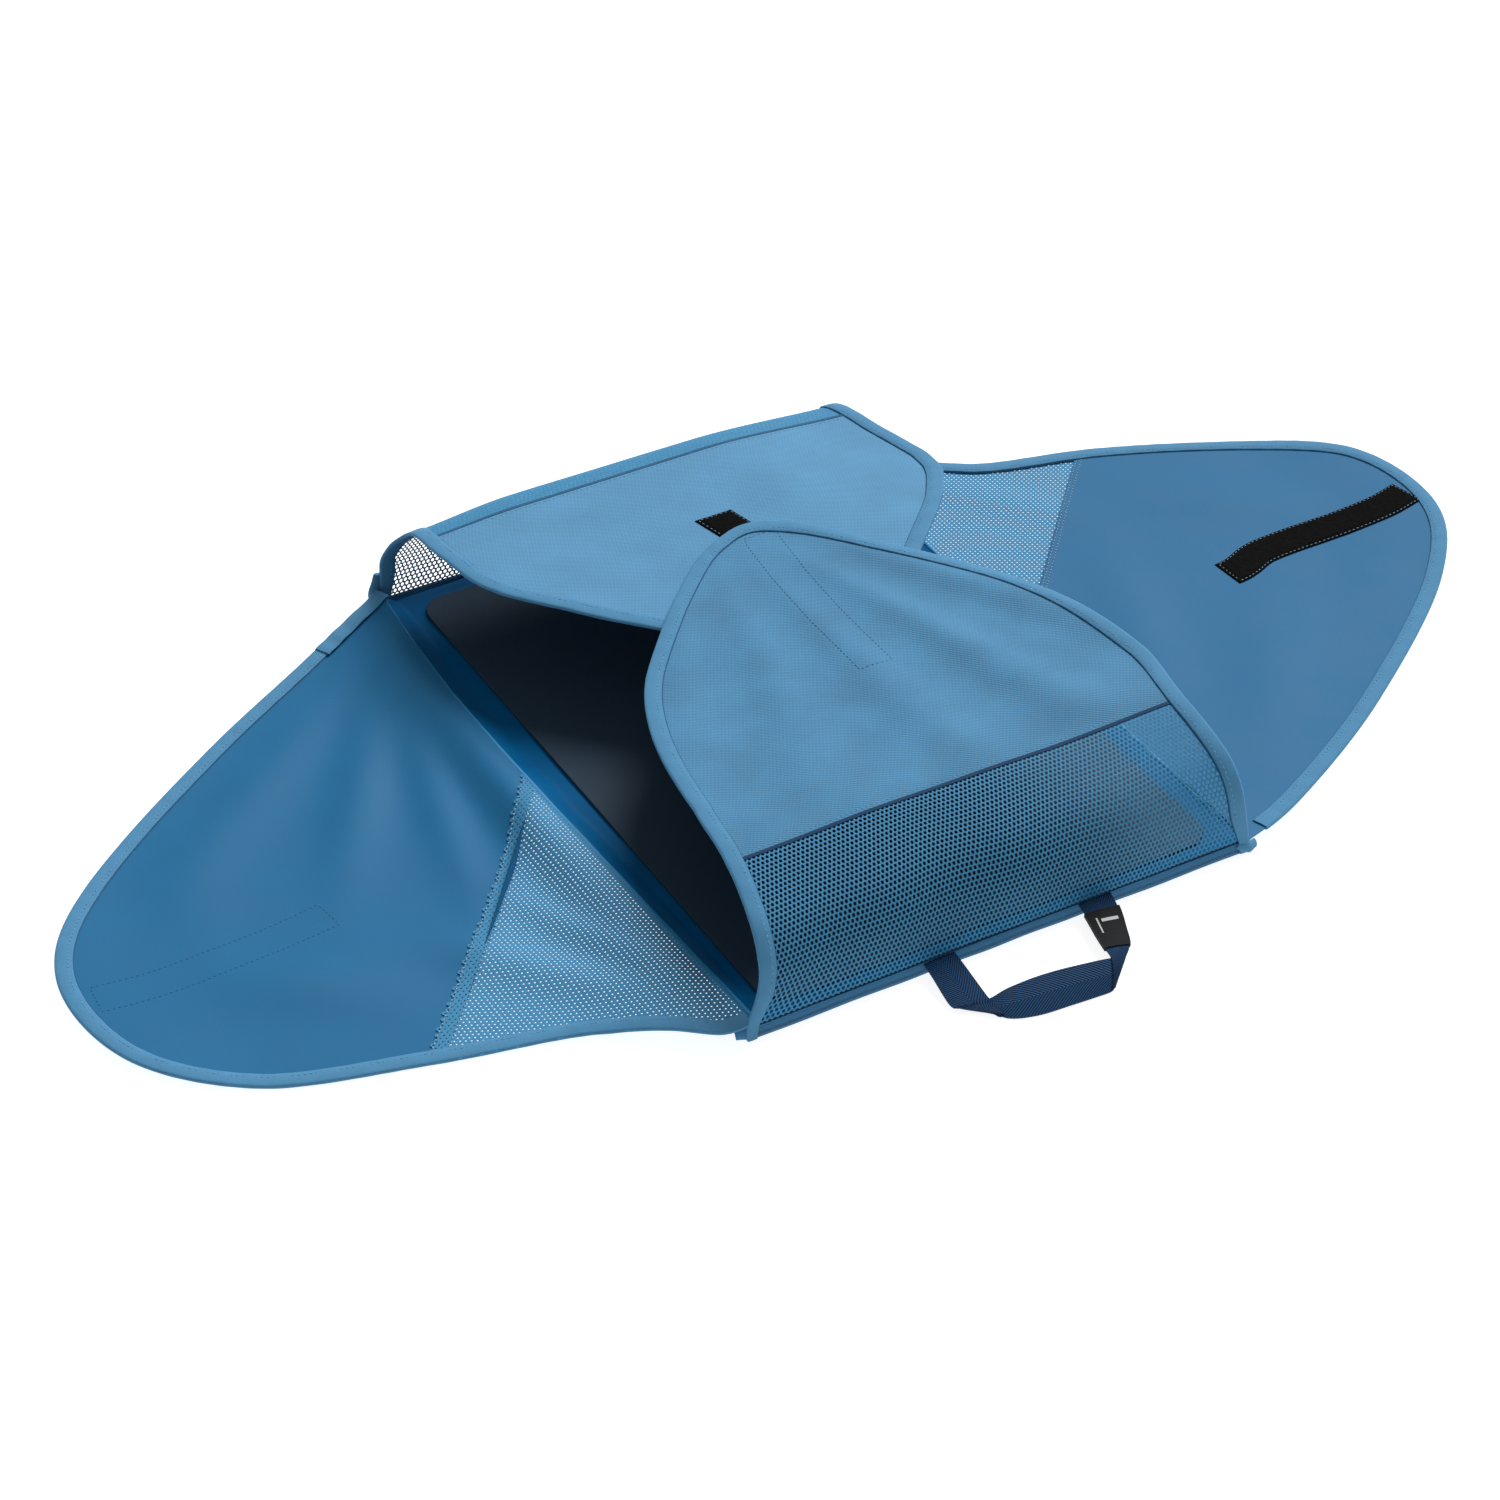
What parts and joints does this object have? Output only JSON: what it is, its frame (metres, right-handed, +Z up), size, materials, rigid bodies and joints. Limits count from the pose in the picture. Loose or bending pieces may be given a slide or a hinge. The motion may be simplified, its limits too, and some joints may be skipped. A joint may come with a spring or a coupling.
{
  "type": "garment folder",
  "caption": "Fabric garment folder with a stiffened base, a loose folding board, mesh-walled front and back wings folded in, and two side wings lying open.",
  "frame": {"origin": "centre of the base's flat underside", "axes": "+X to the right along the front edge with the handle, +Y from the handle's edge to the back, +Z up"},
  "size_m": [1.0472, 0.5664, 0.082],
  "materials": {
    "outer_fabric": "matt blue polyester weave with a faint twill",
    "inner_fabric": "matt darker blue coated side of the fabric",
    "lining": "smooth deep blue satin",
    "binding": "light blue woven binding tape with stitching",
    "seam_tape": "dark blue seam line",
    "piping": "blue fabric piping",
    "mesh": "blue warp-knit net with hexagonal holes",
    "hook_and_loop": "black hook and loop tape",
    "webbing": "navy herringbone webbing",
    "size_tag": "black woven tag",
    "stiffener": "plain sheet",
    "board": "matt dark blue-grey sheet"
  },
  "bodies": {
    "base": {"back_left_corner_tab": "binding", "back_right_corner_tab": "binding", "back_welt": "outer_fabric", "base_lining": "lining", "base_outer_panel": "outer_fabric", "base_stiffener": "stiffener", "front_left_corner_tab": "binding", "front_right_corner_tab": "binding", "front_welt": "outer_fabric", "left_edge_piping": "piping", "right_edge_piping": "piping"},
    "folding_board": {"folding_board": "board"},
    "handle": {"handle_size_tag": "size_tag", "handle_webbing": "webbing"},
    "front_wing_wall": {"front_wall_binding_1": "binding", "front_wall_binding_2": "binding", "front_wall_mesh": "mesh"},
    "front_wing_flap": {"front_flap_binding": "binding", "front_flap_fabric": "outer_fabric", "front_hook_strip": "hook_and_loop", "front_seam_tape": "seam_tape"},
    "back_wing_wall": {"back_wall_binding_1": "binding", "back_wall_binding_2": "binding", "back_wall_mesh": "mesh"},
    "back_wing_flap": {"back_flap_binding": "binding", "back_flap_fabric": "outer_fabric", "back_loop_strip": "hook_and_loop", "back_seam_tape": "seam_tape", "back_top_mesh": "mesh"},
    "left_wing_wall": {"left_wall_binding_fabric_side": "binding", "left_wall_binding_gusset_side": "binding", "left_wing_wall_fabric": "inner_fabric", "left_wing_wall_gusset": "mesh"},
    "left_wing_top": {"left_loop_strip": "hook_and_loop", "left_top_binding": "binding", "left_wing_top_fabric": "inner_fabric", "left_wing_top_gusset": "mesh"},
    "right_wing_wall": {"right_wall_binding_fabric_side": "binding", "right_wall_binding_gusset_side": "binding", "right_wing_wall_fabric": "inner_fabric", "right_wing_wall_gusset": "mesh"},
    "right_wing_top": {"right_hook_strip": "hook_and_loop", "right_top_binding": "binding", "right_wing_top_fabric": "inner_fabric", "right_wing_top_gusset": "mesh"}
  },
  "joints": [
    {"name": "board_slide", "type": "slide", "parent": "base", "child": "folding_board", "axis": [1, 0, 0], "range_m": [0, 0.36]},
    {"name": "handle_lift", "type": "hinge", "parent": "base", "child": "handle", "pos_m": [0, -0.256, 0.01], "axis": [1, 0, 0], "range_deg": [-85, 0]},
    {"name": "front_wing_open", "type": "hinge", "parent": "base", "child": "front_wing_wall", "pos_m": [0, -0.254, 0.012], "axis": [1, 0, 0], "range_deg": [0, 105]},
    {"name": "front_flap_open", "type": "hinge", "parent": "front_wing_wall", "child": "front_wing_flap", "pos_m": [0, -0.187, 0.0807], "axis": [1, 0, 0], "range_deg": [0, 45]},
    {"name": "back_wing_open", "type": "hinge", "parent": "base", "child": "back_wing_wall", "pos_m": [0, 0.254, 0.012], "axis": [-1, 0, 0], "range_deg": [0, 102]},
    {"name": "back_flap_open", "type": "hinge", "parent": "back_wing_wall", "child": "back_wing_flap", "pos_m": [0, 0.24, 0.076], "axis": [-1, 0, 0], "range_deg": [0, 77]},
    {"name": "left_wing_close", "type": "hinge", "parent": "base", "child": "left_wing_wall", "pos_m": [-0.178, 0, 0.006], "axis": [0, 1, 0], "range_deg": [0, 90]},
    {"name": "left_top_close", "type": "hinge", "parent": "left_wing_wall", "child": "left_wing_top", "pos_m": [-0.256, 0, 0.006], "axis": [0, 1, 0], "range_deg": [0, 90]},
    {"name": "right_wing_close", "type": "hinge", "parent": "base", "child": "right_wing_wall", "pos_m": [0.178, 0, 0.006], "axis": [0, -1, 0], "range_deg": [0, 90]},
    {"name": "right_top_close", "type": "hinge", "parent": "right_wing_wall", "child": "right_wing_top", "pos_m": [0.262, 0, 0.006], "axis": [0, -1, 0], "range_deg": [0, 90]}
  ]
}
